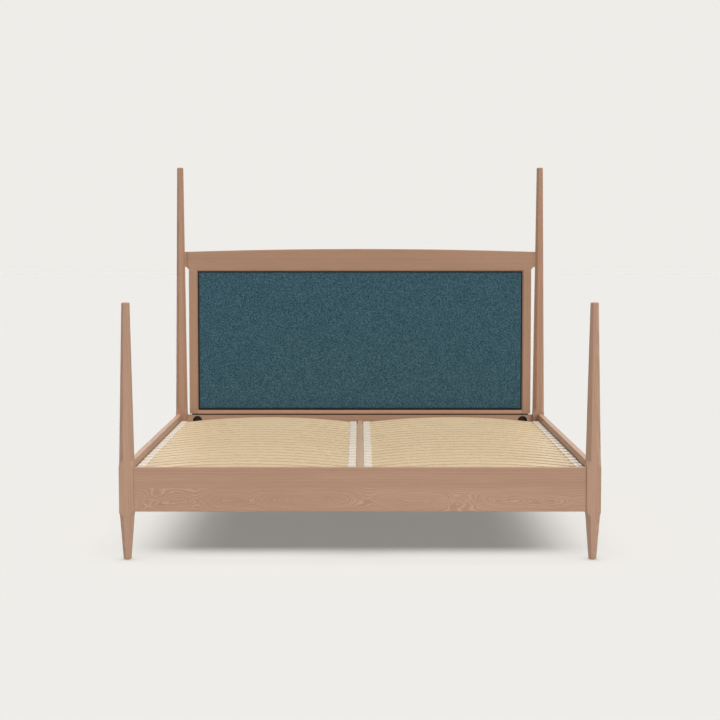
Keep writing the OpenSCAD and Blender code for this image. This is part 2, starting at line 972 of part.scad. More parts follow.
foot_post(-1);  // foot_post_left
foot_post(1);  // foot_post_right
head_post(-1);  // head_post_left
head_post(1);  // head_post_right
felt_glides();
foot_rail();
head_rail();
side_rail(-1);  // side_rail_left
side_rail(1);  // side_rail_right
rail_dowels();
rail_studs();
half_moon_washers();
rail_nuts();
side_ledger(-1);  // side_ledger_left
side_ledger(1);  // side_ledger_right
centre_ledger(-1);  // centre_ledger_left
centre_ledger(1);  // centre_ledger_right
ledger_screws();
centre_rail();
centre_bracket(-1);  // centre_bracket_foot
centre_bracket(1);  // centre_bracket_head
bracket_screws();
slat_row(-1);  // slats_left
slat_row(1);  // slats_right
holder_row(-outer_holder_x, 1);  // slat_holders_outer_left
holder_row(-inner_holder_x, -1);  // slat_holders_inner_left
holder_row(inner_holder_x, 1);  // slat_holders_inner_right
holder_row(outer_holder_x, -1);  // slat_holders_outer_right
centre_leg();
leg_plate();
leg_screws();
leg_insert();
levelling_foot();
headboard_top_rail();
headboard_stile(-1);  // headboard_stile_left
headboard_stile(1);  // headboard_stile_right
headboard_bottom_rail();
headboard_pad();
headboard_pad_board();
headboard_back_panel();
headboard_packing_strip();
headboard_pins();
headboard_dowels();
panel_screws();
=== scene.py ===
"""Looks of the four poster bed: timber, plastic, metal and fabric, the upholstered
headboard pad, and the studio around it. Lengths are in metres; +Y is the head end."""

import math

import bpy
import numpy as np
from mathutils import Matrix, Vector


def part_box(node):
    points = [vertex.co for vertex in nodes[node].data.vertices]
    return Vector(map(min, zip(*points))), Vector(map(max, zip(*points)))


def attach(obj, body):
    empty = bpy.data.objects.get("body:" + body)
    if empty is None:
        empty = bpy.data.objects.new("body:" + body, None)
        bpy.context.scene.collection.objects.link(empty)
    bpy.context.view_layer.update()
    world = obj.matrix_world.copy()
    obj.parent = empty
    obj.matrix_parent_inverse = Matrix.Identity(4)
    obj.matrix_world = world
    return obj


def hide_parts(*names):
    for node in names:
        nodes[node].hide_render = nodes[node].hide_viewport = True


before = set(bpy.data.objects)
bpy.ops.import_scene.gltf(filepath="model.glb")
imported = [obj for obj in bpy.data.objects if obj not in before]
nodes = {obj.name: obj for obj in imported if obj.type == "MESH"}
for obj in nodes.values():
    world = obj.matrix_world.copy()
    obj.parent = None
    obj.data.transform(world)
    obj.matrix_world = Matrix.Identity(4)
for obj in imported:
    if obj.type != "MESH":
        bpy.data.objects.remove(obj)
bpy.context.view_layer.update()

# ---------------------------------------------------------------- studio

FLOOR_HALF = 60.0
FLOOR_ALBEDO = (0.250, 0.2457, 0.2369, 1)
# The floor as light bounced off it sees it: a little darker, so it tints the bed less
FLOOR_BOUNCE = (0.188, 0.184, 0.178, 1)
BACKDROP = (0.863, 0.847, 0.815, 1)
DOME_STRENGTH = 0.10
# Half sizes of the shadow card along X and Y, and its height
CARD_HALF = (0.81, 0.89)
CARD_Z = 0.30
# Suns: name, degrees round from the foot end towards +X, degrees up, degrees across, strength
BED_SUNS = (
    ("key_front", 20, 25, 40, 1.77),
    ("top", 0, 90, 24, 2.10),
    ("back_right", 150, 8, 50, 1.10),
    ("back_left", -150, 8, 50, 1.10),
)
SHADED_SUNS = (
    ("floor_left", -90, 72, 46, 2.69),
    ("floor_middle", 0, 90, 46, 2.69),
    ("floor_right", 90, 72, 46, 2.69),
)
OPEN_SUNS = (("floor_open", 0, 90, 10, 2.70),)
# The fill over the slats: where it hangs, its size along X and Y, and its power in watts
FILL_AT = (0, 0.90, 1.60)
FILL_SIZE = (1.9, 0.6)
FILL_WATTS = 4.4

# Where the camera stands, the degrees it looks down, and its lens and sensor in millimetres
CAMERA_AT = (0, -7.789, 1.269)
CAMERA_DOWN = 3.99
CAMERA_LENS = 85
CAMERA_SENSOR = 36


def build_camera():
    camera = bpy.data.objects.new("camera", bpy.data.cameras.new("camera"))
    camera.data.lens = CAMERA_LENS
    camera.data.sensor_width = CAMERA_SENSOR
    camera.location = CAMERA_AT
    camera.rotation_euler = (math.radians(90 - CAMERA_DOWN), 0, 0)
    bpy.context.scene.collection.objects.link(camera)
    bpy.context.scene.camera = camera


def flat_sheet(name, half_x, half_y, z):
    """A level rectangle round the middle of the bed, part of the studio."""
    mesh = bpy.data.meshes.new(name)
    corners = [(x * half_x, y * half_y, z) for x, y in ((-1, -1), (1, -1), (1, 1), (-1, 1))]
    mesh.from_pydata(corners, [], [(0, 1, 2, 3)])
    sheet = bpy.data.objects.new(name, mesh)
    bpy.context.scene.collection.objects.link(sheet)
    return sheet


def build_floor():
    floor = flat_sheet("floor", FLOOR_HALF, FLOOR_HALF, 0)
    t = Tree("floor_paint")
    bounced = t.node("LightPath").outputs["Is Diffuse Ray"]
    paint = t.blend(bounced, FLOOR_ALBEDO, FLOOR_BOUNCE)
    t.surface({"Base Color": paint, "Roughness": 1.0, "Specular IOR Level": 0.0})
    floor.data.materials.append(t.material)
    return floor


def build_shadow_card():
    """A card inside the bed that nothing sees: it only casts the soft shadow on the floor."""
    card = flat_sheet("shadow_card", *CARD_HALF, CARD_Z)
    for ray in ("camera", "diffuse", "glossy", "transmission", "volume_scatter"):
        setattr(card, "visible_" + ray, False)
    return card


def build_world():
    """The backdrop that the camera and reflections see has the floor's own colour; everything
    else sees a dim dome."""
    world = bpy.data.worlds.new("studio")
    bpy.context.scene.world = world
    world.use_nodes = True
    tree = world.node_tree
    tree.nodes.clear()
    path = tree.nodes.new("ShaderNodeLightPath")
    seen_by = tree.nodes.new("ShaderNodeMath")
    seen_by.operation = "MAXIMUM"
    dome = tree.nodes.new("ShaderNodeBackground")
    dome.inputs["Color"].default_value = (1, 1, 1, 1)
    dome.inputs["Strength"].default_value = DOME_STRENGTH
    seen = tree.nodes.new("ShaderNodeBackground")
    seen.inputs["Color"].default_value = BACKDROP
    mix = tree.nodes.new("ShaderNodeMixShader")
    out = tree.nodes.new("ShaderNodeOutputWorld")
    tree.links.new(path.outputs["Is Camera Ray"], seen_by.inputs[0])
    tree.links.new(path.outputs["Is Glossy Ray"], seen_by.inputs[1])
    tree.links.new(seen_by.outputs[0], mix.inputs[0])
    tree.links.new(dome.outputs[0], mix.inputs[1])
    tree.links.new(seen.outputs[0], mix.inputs[2])
    tree.links.new(mix.outputs[0], out.inputs["Surface"])


def link_set(name, objects, state):
    """A light-linking set that only includes the objects, or that leaves them out."""
    group = bpy.data.collections.new(name)
    for k, thing in enumerate(objects):
        group.objects.link(thing)
        group.collection_objects[k].light_linking.link_state = state
    return group


def build_suns(suns, receivers, blockers):
    """Suns that light only the receivers, and that only the blockers shade."""
    for name, turn, up, across, strength in suns:
        turn, up = math.radians(turn), math.radians(up)
        sun = bpy.data.lights.new(name, "SUN")
        sun.energy = strength
        sun.angle = math.radians(across)
        holder = bpy.data.objects.new(name, sun)
        level = math.cos(up)
        source = Vector((math.sin(turn) * level, -math.cos(turn) * level, math.sin(up)))
        holder.rotation_euler = source.to_track_quat("Z", "Y").to_euler()
        holder.light_linking.receiver_collection = receivers
        holder.light_linking.blocker_collection = blockers
        holder.visible_glossy = False
        bpy.context.scene.collection.objects.link(holder)


def build_fill(slats):
    """A soft light over the head end, for the slats that the headboard keeps the sky from."""
    light = bpy.data.lights.new("slat_fill", "AREA")
    light.shape = "RECTANGLE"
    light.size, light.size_y = FILL_SIZE
    light.energy = FILL_WATTS
    holder = bpy.data.objects.new("slat_fill", light)
    holder.location = FILL_AT
    holder.light_linking.receiver_collection = slats
    holder.light_linking.blocker_collection = slats
    holder.visible_camera = False
    holder.visible_glossy = False
    bpy.context.scene.collection.objects.link(holder)


def build_lights(floor, card):
    """Suns for the bed and suns for the floor, whose shadow comes from the card and the posts."""
    bed_only = link_set("not_the_studio", [floor, card], "EXCLUDE")
    floor_only = link_set("the_floor", [floor], "INCLUDE")
    card_only = link_set("the_card", [card], "INCLUDE")
    posts = [thing for name, thing in sorted(nodes.items()) if "_post_" in name]
    build_suns(BED_SUNS, bed_only, bed_only)
    build_suns(SHADED_SUNS, floor_only, card_only)
    build_suns(OPEN_SUNS, floor_only, link_set("the_posts", posts, "INCLUDE"))
    build_fill(link_set("the_slats", [nodes["slats_left"], nodes["slats_right"]], "INCLUDE"))


# ---------------------------------------------------------------- node trees


# Where most of a noise's values lie
NOISE_SPAN = (0.3, 0.7)


class Tree:
    """A material's node tree, built with short calls. A value is a number, a colour or a socket."""

    def __init__(self, name):
        self.material = bpy.data.materials.new(name)
        self.material.use_nodes = True
        self.tree = self.material.node_tree
        self.tree.nodes.clear()

    def feed(self, socket, value):
        if isinstance(value, bpy.types.NodeSocket):
            self.tree.links.new(value, socket)
        else:
            socket.default_value = value

    def node(self, kind, inputs=None, **settings):
        made = self.tree.nodes.new("ShaderNode" + kind)
        for name, value in settings.items():
            setattr(made, name, value)
        for name, value in (inputs or {}).items():
            self.feed(made.inputs[name], value)
        return made

    def math(self, operation, *values):
        made = self.node("Math", operation=operation)
        for socket, value in zip(made.inputs, values):
            self.feed(socket, value)
        return made.outputs[0]

    def total(self, base, *parts):
        """base plus each value times its weight."""
        for value, weight in parts:
            base = self.math("MULTIPLY_ADD", value, weight, base)
        return base

    def point(self):
        """The point in the bed's own frame."""
        return self.node("TexCoord").outputs["Object"]

    def place(self):
        """The three coordinates of the point in the bed's own frame."""
        return tuple(self.node("SeparateXYZ", {"Vector": self.point()}).outputs)

    def facing_y(self):
        """1 where the surface faces +Y, -1 where it faces -Y."""
        normal = self.node("NewGeometry").outputs["Normal"]
        return self.node("SeparateXYZ", {"Vector": normal}).outputs["Y"]

    def vector(self, x, y, z):
        """Three numbers or sockets as one vector."""
        return self.node("CombineXYZ", {"X": x, "Y": y, "Z": z}).outputs[0]

    def length(self, vector):
        return self.node("VectorMath", {0: vector}, operation="LENGTH").outputs["Value"]

    def scaled(self, xyz, scales, shift=0.0):
        """The coordinates multiplied by their scales, the first one then moved by the shift."""
        parts = [self.math("MULTIPLY", v, s) for v, s in zip(xyz, scales)]
        parts[0] = self.math("ADD", parts[0], shift)
        return self.vector(*parts)

    def noise(self, vector, scale=1.0, detail=2.0, roughness=0.5):
        inputs = {"Vector": vector, "Scale": scale, "Detail": detail, "Roughness": roughness}
        return self.node("TexNoise", inputs).outputs[0]

    def about_zero(self, noise, width):
        """Noise between 0 and 1 turned into a swing of that width about 0."""
        return self.math("MULTIPLY", self.math("SUBTRACT", noise, 0.5), width)

    def wander(self, along, scale, seed, reach):
        """A smooth drift between -reach and reach along one coordinate."""
        w = self.math("ADD", along, seed)
        inputs = {"W": w, "Scale": scale, "Detail": 2.0, "Roughness": 0.45}
        drift = self.node("TexNoise", inputs, noise_dimensions="1D").outputs[0]
        return self.about_zero(drift, 2 * reach)

    def dice(self, number):
        """A random value from 0 to 1 for each whole number."""
        return self.node("TexWhiteNoise", {"W": number}, noise_dimensions="1D").outputs[0]

    def remap(self, value, low, high, out_low=0.0, out_high=1.0):
        inputs = {"Value": value, "From Min": low, "From Max": high}
        inputs.update({"To Min": out_low, "To Max": out_high})
        return self.node("MapRange", inputs).outputs[0]

    def ramp(self, factor, stops):
        """Colours or greys along the factor, as (position, colour) pairs."""
        made = self.node("ValToRGB", {"Fac": factor})
        elements = made.color_ramp.elements
        while len(elements) < len(stops):
            elements.new(0.5)
        for element, (position, colour) in zip(elements, stops):
            element.position = position
            grey = isinstance(colour, float)
            element.color = (colour, colour, colour, 1) if grey else (*colour, 1)
        return made.outputs[0]

    def two_tone(self, noise, shades):
        """The first shade where the noise is low, the second where it is high."""
        return self.ramp(noise, tuple(zip(NOISE_SPAN, shades)))

    def blend(self, factor, first, second):
        made = self.node("Mix", data_type="RGBA")
        for index, value in ((0, factor), (6, first), (7, second)):
            self.feed(made.inputs[index], value)
        return made.outputs[2]

    def bump(self, height, distance, strength, under=None):
        inputs = {"Height": height, "Distance": distance, "Strength": strength}
        made = self.node("Bump", inputs)
        if under is not None:
            self.feed(made.inputs["Normal"], under)
        return made.outputs[0]

    def surface(self, inputs):
        shader = self.node("BsdfPrincipled", inputs)
        out = self.node("OutputMaterial")
        self.tree.links.new(shader.outputs[0], out.inputs["Surface"])


def dress(material, *names):
    """Gives the named CAD pieces the material."""
    for name in names:
        for slot in nodes[name].material_slots:
            slot.material = material


# ---------------------------------------------------------------- timber

# The axes along, across and through a piece, by the direction of its grain
GRAIN_ORDER = {"x": (0, 1, 2), "y": (1, 0, 2), "z": (2, 0, 1)}
# Shades of oak by the depth of its colour, dark to light
OAK_SHADES = (
    (0.36, (0.340, 0.190, 0.122)),
    (0.72, (0.470, 0.275, 0.182)),
    (1.00, (0.560, 0.350, 0.240)),
)
# Tones multiply the shades of oak
FOOT_TONE = (1.01, 1.03, 1.05)
# The side rails are painted a little lighter: painted light, standing in for fill on their inner
# faces
SIDE_LIT_TONE = (1.06, 1.08, 1.10)
HEAD_TONE = (0.935, 0.908, 0.886)
# The headboard's bottom rail is painted lighter: painted light against the shade it lies in
LOW_LIT_TONE = (1.03, 1.01, 0.97)
# The centre rail is painted lighter and greyer: painted sheen and light, standing in for the
# grazing reflection and top light on it
CENTRE_SHEEN_TONE = (1.12, 1.32, 1.36)
BOARD_TONE = (0.875, 0.875, 0.862)

# Width of a growth ring, drift of the tree's middle along a board, and waver of the rings
OAK_RING = 0.0036
WIDE_RING = 0.0058
PITH_DRIFT = 0.006
RING_WAVER = 0.004
# Cathedral arches: the width of the band they fill on each side of the tree's middle, how far
# the rings are drawn along the board, their raggedness, the band's drift, and their contrast
ARCH_BAND = 0.052
ARCH_DRAW = 0.24
ARCH_RAGGED = 0.016
ARCH_DRIFT = 0.008
ARCH_CONTRAST = 0.46
ARCH_LINE = ((0.0, 0.35), (0.35, 0.0), (0.60, 0.15), (0.82, 1.0), (1.0, 0.35))
ARCH_LINE_MEAN = 0.15
# The tone of the wood through one year's growth
SEASONS = ((0.0, 0.15), (0.16, 0.30), (0.42, 0.78), (0.86, 0.92), (1.0, 0.15))
# What the grain adds to the depth of the colour
BASE_DEPTH = 0.18
SEASON_WEIGHT = 0.26
ARCHED_SEASON_WEIGHT = 0.12
FIBRE_WEIGHT = 0.40
CLOUD_WEIGHT = 0.34
YEAR_WEIGHT = 0.10
PORE_WEIGHT = -0.16
# Scales of the noises along, across and through a board
FIBRE_GRAIN = (7, 380, 380)
CLOUD_GRAIN = (1.2, 14, 14)
PORE_GRAIN = (55, 1500, 1500)
WAVER_GRAIN = (4, 30, 30)
SURGE_GRAIN = (5.0, 7, 7)
RAGGED_GRAIN = (26, 60, 60)
# Roughness of the lacquer over dark and over light wood, and the depths of the relief
LACQUER = (0.46, 0.36)
PORE_DEPTH = 0.00025
FIBRE_DEPTH = 0.0002

POCKET_R = 0.0248
# Painted shade: the inside of the bolt pockets is coloured near black, standing in for the shade in
# these bores
POCKET_PAINTED_SHADE = (0.020, 0.014, 0.010, 1)
# Distance of the pockets from the middle, their heights, and how deep they lie, from and to
END_POCKETS = (0.849, (0.335, 0.231), (1.0515, 1.0755))
SIDE_POCKETS = (0.972, (0.243,), (0.9285, 0.9525))


def in_pockets(t, xyz, grain, pockets):
    """1 inside the bolt pockets of a rail, where shade is painted near black, 0 elsewhere."""
    out, heights, (shallow, deep) = pockets
    along, across, _ = GRAIN_ORDER[grain]
    depth = t.math("ABSOLUTE", xyz[across])
    past_face = t.math("GREATER_THAN", depth, shallow)
    inside = t.math("MULTIPLY", past_face, t.math("LESS_THAN", depth, deep))
    away = t.math("SUBTRACT", t.math("ABSOLUTE", xyz[along]), out)
    near = 0.0
    for height in heights:
        gap = t.length(t.vector(away, 0.0, t.math("SUBTRACT", xyz[2], height)))
        near = t.math("MAXIMUM", near, t.math("LESS_THAN", gap, POCKET_R))
    return t.math("MULTIPLY", inside, near)


def count_rings(t, lengthwise, pith, seed, spacing, arched):
    """How many growth rings lie between the point and the middle of the tree, and how near the
    point is to the line that arches follow, or None."""
    along, across, through = lengthwise
    aside = t.math("SUBTRACT", across, pith[0])
    aside = t.math("ADD", aside, t.wander(along, 1.1, seed, PITH_DRIFT))
    inward = t.math("SUBTRACT", through, pith[1])
    inward = t.math("ADD", inward, t.wander(along, 1.4, seed + 31.7, PITH_DRIFT))
    radius = t.length(t.vector(0.0, aside, inward))
    near = None
    if arched:
        bent = t.math("ADD", inward, t.wander(along, 6.0, seed + 5.0, ARCH_DRIFT))
        near = t.remap(t.math("ABSOLUTE", bent), 0.0, ARCH_BAND, 1.0, 0.0)
        surge = t.noise(t.scaled(lengthwise, SURGE_GRAIN, seed + 13.0), detail=1.0)
        ragged = t.noise(t.scaled(lengthwise, RAGGED_GRAIN, seed), detail=3.0, roughness=0.6)
        ragged = t.about_zero(ragged, ARCH_RAGGED)
        draw = t.total(ragged, (t.math("SUBTRACT", surge, 0.5), ARCH_DRAW))
        radius = t.math("ADD", radius, t.math("MULTIPLY", near, draw))
    waver = t.about_zero(t.noise(t.scaled(lengthwise, WAVER_GRAIN, seed)), RING_WAVER)
    return t.math("DIVIDE", t.math("ADD", radius, waver), spacing), near


def oak(node, grain, pith, seed, tone=FOOT_TONE, spacing=OAK_RING, arched=False, pockets=None):
    """Plain-sawn oak. pith is where the middle of the tree lies, from the piece's own middle,
    on the two axes across the grain. An arched board shows cathedral arches near that line. The
    seeds of the noises are shifted from the board's own, so that they don't repeat each other."""
    t = Tree("oak_" + node)
    xyz = t.place()
    order = GRAIN_ORDER[grain]
    lengthwise = tuple(xyz[k] for k in order)
    low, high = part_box(node)
    middle = (low + high) / 2
    pith = (middle[order[1]] + pith[0], middle[order[2]] + pith[1])
    rings, near = count_rings(t, lengthwise, pith, seed, spacing, arched)
    ring = t.math("FRACT", rings)
    year = t.dice(t.math("FLOOR", rings))
    season = t.ramp(ring, SEASONS)

    fibre = t.noise(t.scaled(lengthwise, FIBRE_GRAIN, seed), detail=3.0, roughness=0.6)
    cloud = t.noise(t.scaled(lengthwise, CLOUD_GRAIN, seed + 7.0), detail=3.0)
    pore = t.noise(t.scaled(lengthwise, PORE_GRAIN, seed + 3.0), detail=1.0)
    pore = t.math("MULTIPLY", t.remap(pore, 0.60, 0.70), t.remap(ring, 0.75, 0.05, 0.25, 1.0))

    season_weight = ARCHED_SEASON_WEIGHT if arched else SEASON_WEIGHT
    depth = t.total(BASE_DEPTH, (season, season_weight), (fibre, FIBRE_WEIGHT),
                    (cloud, CLOUD_WEIGHT), (year, YEAR_WEIGHT), (pore, PORE_WEIGHT))
    if arched:
        show = t.math("MULTIPLY", t.math("POWER", near, 0.3), ARCH_CONTRAST)
        line = t.math("SUBTRACT", t.ramp(ring, ARCH_LINE), ARCH_LINE_MEAN)
        depth = t.total(depth, (line, show))
    shades = [(at, tuple(v * k for v, k in zip(shade, tone))) for at, shade in OAK_SHADES]
    colour = t.ramp(depth, shades)
    # Painted shade inside the bolt pockets
    if pockets is not None:
        colour = t.blend(in_pockets(t, xyz, grain, pockets), colour, POCKET_PAINTED_SHADE)

    relief = t.total(0.0, (fibre, 0.5), (pore, -1.0), (season, 0.3))
    t.surface({"Base Color": colour, "Roughness": t.remap(depth, 0.4, 1.0, *LACQUER),
               "Normal": t.bump(relief, PORE_DEPTH, 0.7)})
    dress(t.material, node)


def dress_timber():
    oak("foot_rail", "x", (-0.016, -0.044), 3.0, spacing=WIDE_RING, arched=True,
        pockets=END_POCKETS)
    oak("head_rail", "x", (0.030, -0.110), 11.0, pockets=END_POCKETS)
    oak("side_rail_left", "y", (-0.040, -0.120), 17.0, tone=SIDE_LIT_TONE, pockets=SIDE_POCKETS)
    oak("side_rail_right", "y", (0.040, 0.120), 23.0, tone=SIDE_LIT_TONE, pockets=SIDE_POCKETS)
    oak("centre_rail", "y", (0.060, 0.080), 29.0, tone=CENTRE_SHEEN_TONE)
    oak("centre_leg", "z", (0.050, 0.020), 37.0)
    oak("foot_post_left", "z", (0.060, 0.090), 41.0)
    oak("foot_post_right", "z", (-0.070, 0.084), 47.0)
    oak("head_post_left", "z", (0.080, 0.090), 53.0, tone=HEAD_TONE)
    oak("head_post_right", "z", (-0.060, 0.096), 59.0, tone=HEAD_TONE)
    oak("headboard_top_rail", "x", (0.040, 0.090), 61.0, tone=BOARD_TONE)
    oak("headboard_bottom_rail", "x", (0.040, 0.070), 67.0, tone=LOW_LIT_TONE)
    oak("headboard_stile_left", "z", (0.090, 0.060), 71.0, tone=BOARD_TONE)
    oak("headboard_stile_right", "z", (-0.090, 0.060), 79.0, tone=BOARD_TONE)
    oak("headboard_back_panel", "x", (0.090, -0.150), 83.0, tone=BOARD_TONE)


SLAT_PITCH = 0.098
FIRST_SLAT_Y = -0.946
SLAT_BOW = 0.024
# Length at each end of a slat, inside its holder, that the bow leaves out
SLAT_END = 0.028
PLY_T = 0.0014
# Colours of the layers on the slats' long edges: real layers of ply, painted lighter than the faces
# as painted light on the edges
PLY_TONES_LIT = ((0.780, 0.610, 0.395, 1), (0.720, 0.550, 0.345, 1))
# A face whose normal has more than this along Y is a long edge
EDGE_FACING = 0.7
BIRCH_SHADES = (
    (0.30, (0.646, 0.487, 0.303)),
    (0.52, (0.702, 0.542, 0.344)),
    (0.75, (0.747, 0.606, 0.411)),
)
# How far apart in the noise two slats may be cut
BIRCH_SHIFT = 40.0
BIRCH_FIBRE = (10, 480, 480)
BIRCH_CLOUD = (2.4, 22, 22)
BIRCH_FLECK = (70, 900, 900)


def birch_slats(node):
    """Bowed strips of birch plywood: a fine grain along X, a tone of its own for each slat, and the
    layers of the ply showing on its long edges, painted lighter than the faces as painted light."""
    t = Tree("birch_" + node)
    x, y, z = xyz = t.place()
    low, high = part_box(node)
    row = t.math("ROUND", t.math("DIVIDE", t.math("SUBTRACT", y, FIRST_SLAT_Y), SLAT_PITCH))
    tone = t.dice(t.math("ADD", row, low.x))
    shift = t.math("MULTIPLY", tone, BIRCH_SHIFT)
    fibre = t.noise(t.scaled(xyz, BIRCH_FIBRE, shift), detail=3.0, roughness=0.6)
    cloud = t.noise(t.scaled(xyz, BIRCH_CLOUD, shift), detail=3.0)
    fleck = t.noise(t.scaled(xyz, BIRCH_FLECK, shift), detail=1.0)
    depth = t.total(0.17, (cloud, 0.30), (fibre, 0.12), (tone, 0.16),
                    (t.remap(fleck, 0.62, 0.72), -0.04))
    middle, half = (low.x + high.x) / 2, (high.x - low.x) / 2 - SLAT_END
    out = t.math("DIVIDE", t.math("SUBTRACT", x, middle), half)
    sag = t.math("MULTIPLY", t.math("MINIMUM", t.math("MULTIPLY", out, out), 1.0), SLAT_BOW)
    layer = t.math("FLOOR", t.math("DIVIDE", t.math("ADD", z, sag), PLY_T))
    lit_ply_edges = t.blend(t.math("MODULO", layer, 2.0), *PLY_TONES_LIT)
    on_edge = t.math("GREATER_THAN", t.math("ABSOLUTE", t.facing_y()), EDGE_FACING)
    t.surface({"Base Color": t.blend(on_edge, t.ramp(depth, BIRCH_SHADES), lit_ply_edges),
               "Roughness": t.remap(depth, 0.3, 0.8, *LACQUER),
               "Normal": t.bump(fibre, FIBRE_DEPTH, 0.2)})
    dress(t.material, node)


SPRUCE_RING = 0.0034
SPRUCE_DRIFT = 0.012
# How far the rings lean: the part of the height that counts as sideways
SPRUCE_LEAN = 0.6
SPRUCE_YEAR = ((0.0, 0.9), (0.55, 0.7), (0.92, 0.15), (1.0, 0.9))
SPRUCE_SHADES = (
    (0.25, (0.47, 0.32, 0.18)),
    (0.55, (0.66, 0.51, 0.33)),
    (0.80, (0.74, 0.61, 0.43)),
)


def spruce():
    """Planed battens: straight rings and a slow change of tone."""
    t = Tree("spruce")
    x, y, z = t.place()
    slant = t.math("ADD", x, t.math("MULTIPLY", z, SPRUCE_LEAN))
    slant = t.math("ADD", slant, t.wander(y, 1.2, 4.0, SPRUCE_DRIFT))
    ring = t.ramp(t.math("FRACT", t.math("DIVIDE", slant, SPRUCE_RING)), SPRUCE_YEAR)
    fibre = t.noise(t.scaled((y, x, z), (8, 380, 380)), detail=3.0)
    cloud = t.noise(t.scaled((y, x, z), (2, 14, 14)))
    depth = t.total(0.0, (fibre, 0.35), (ring, 0.35), (cloud, 0.30))
    t.surface({"Base Color": t.ramp(depth, SPRUCE_SHADES),
               "Roughness": t.remap(depth, 0.2, 0.8, 0.7, 0.55),
               "Normal": t.bump(fibre, FIBRE_DEPTH, 0.6)})
    dress(t.material, "side_ledger_left", "side_ledger_right", "centre_ledger_left",
          "centre_ledger_right")


# Near black over the board's front: a lining, and also painted shade for the gap round the pad
LINING_AND_GAP_SHADE = (0.016, 0.018, 0.020, 1)
# A face whose normal has less than this along Y is the board's front
FRONT_FACING = -0.5
BOARD_SHADES = ((0.55, 0.41, 0.26), (0.74, 0.61, 0.43))


def board_ply():
    """The plywood behind the pad, with a dark lining stapled over its front, near black so that it
    also paints the shade in the gap round the pad.
    """
    t = Tree("plywood_board")
    xyz = t.place()
    fibre = t.noise(t.scaled(xyz, (9, 400, 400)), detail=3.0)
    cloud = t.noise(t.scaled(xyz, (1.5, 8, 8)), detail=3.0)
    depth = t.total(0.0, (cloud, 0.5), (fibre, 0.45))
    lined_and_shaded = t.math("LESS_THAN", t.facing_y(), FRONT_FACING)
    t.surface({"Base Color": t.blend(lined_and_shaded, t.two_tone(depth, BOARD_SHADES), LINING_AND_GAP_SHADE),
               "Roughness": t.remap(depth, *NOISE_SPAN, 0.65, 0.5),
               "Normal": t.bump(fibre, FIBRE_DEPTH, 0.5)})
    dress(t.material, "headboard_pad_board")


BEECH_SHADES = ((0.0, (0.50, 0.32, 0.19)), (1.0, (0.64, 0.45, 0.29)))


def beech():
    """Bare beech with fine flecks."""
    t = Tree("beech")
    fleck = t.noise(t.point(), scale=600.0)
    colour = t.ramp(t.remap(fleck, *NOISE_SPAN), BEECH_SHADES)
    t.surface({"Base Color": colour, "Roughness": 0.6,
               "Normal": t.bump(fleck, FIBRE_DEPTH, 0.5)})
    dress(t.material, "rail_dowels", "headboard_dowels")


# ---------------------------------------------------------------- plastic, metal, felt, rubber


PLASTIC_SHADES = ((0.780, 0.705, 0.597), (0.818, 0.742, 0.642))


def plastic():
    """Moulded off-white polypropylene with a fine spark-eroded grain."""
    t = Tree("holder_plastic")
    at = t.point()
    grain = t.noise(at, scale=900.0)
    cloud = t.noise(at, scale=24.0)
    t.surface({"Base Color": t.two_tone(cloud, PLASTIC_SHADES),
               "Roughness": t.remap(grain, *NOISE_SPAN, 0.40, 0.52),
               "Normal": t.bump(grain, 0.0001, 0.4),
               "Subsurface Weight": 0.06, "Subsurface Scale": 0.004})
    dress(t.material, "slat_holders_outer_left", "slat_holders_inner_left",
          "slat_holders_inner_right", "slat_holders_outer_right")


ZINC = ((0.52, 0.52, 0.50), (0.70, 0.70, 0.68))
BLACK_OXIDE = ((0.030, 0.030, 0.030), (0.065, 0.063, 0.060))
THREAD_PITCH = 0.00125
THREAD_DEPTH = 0.0012


def thread(t, along):
    """The height of a rolled thread's crests along one coordinate."""
    return t.math("PINGPONG", t.math("DIVIDE", along, THREAD_PITCH), 0.5)


def steel(name, shades, thread_axis, dressed):
    """Plated steel with a spangle of tones. thread_axis adds rolled threads along that axis."""
    t = Tree(name)
    spangle = t.noise(t.point(), scale=260.0, detail=3.0)
    normal = t.bump(spangle, 0.0001, 0.3)
    if thread_axis is not None:
        crest = thread(t, t.place()[thread_axis])
        normal = t.bump(crest, THREAD_DEPTH, 0.8, under=normal)
    t.surface({"Base Color": t.two_tone(spangle, shades), "Metallic": 1.0,
               "Roughness": t.remap(spangle, *NOISE_SPAN, 0.28, 0.42), "Normal": normal})
    dress(t.material, *dressed)


GLIDE_FELT = ((0.300, 0.190, 0.120), (0.420, 0.280, 0.190))
# The packing strip's felt is near black: its own colour, and painted shade for the dark line under
# the headboard
STRIP_FELT_AND_SHADE = ((0.020, 0.013, 0.009), (0.060, 0.040, 0.028))


def felt(name, shades, node):
    """Dense pressed felt of two shades."""
    t = Tree(name)
    fuzz = t.noise(t.point(), scale=700.0, detail=4.0, roughness=0.7)
    t.surface({"Base Color": t.two_tone(fuzz, shades), "Roughness": 0.95,
               "Normal": t.bump(fuzz, 0.0008, 0.8), "Sheen Weight": 0.3})
    dress(t.material, node)


RUBBER_SHADES = ((0.018, 0.018, 0.018), (0.045, 0.045, 0.045))
STEM_COLOUR = (0.60, 0.60, 0.58, 1)
# Just above the top of the rubber pad, where the stem starts
STEM_FROM_Z = 0.0081


def levelling_foot():
    """A rubber pad on a threaded zinc stem."""
    t = Tree("levelling_foot")
    z = t.place()[2]
    stem = t.math("GREATER_THAN", z, STEM_FROM_Z)
    grain = t.noise(t.point(), scale=800.0, detail=3.0)
    rubber = t.two_tone(grain, RUBBER_SHADES)
    crest = t.math("MULTIPLY", thread(t, z), stem)
    t.surface({"Base Color": t.blend(stem, rubber, STEM_COLOUR), "Metallic": stem,
               "Roughness": t.remap(stem, 0, 1, 0.7, 0.34),
               "Normal": t.bump(crest, THREAD_DEPTH, 0.8)})
    dress(t.material, "levelling_foot")


# ---------------------------------------------------------------- the headboard pad

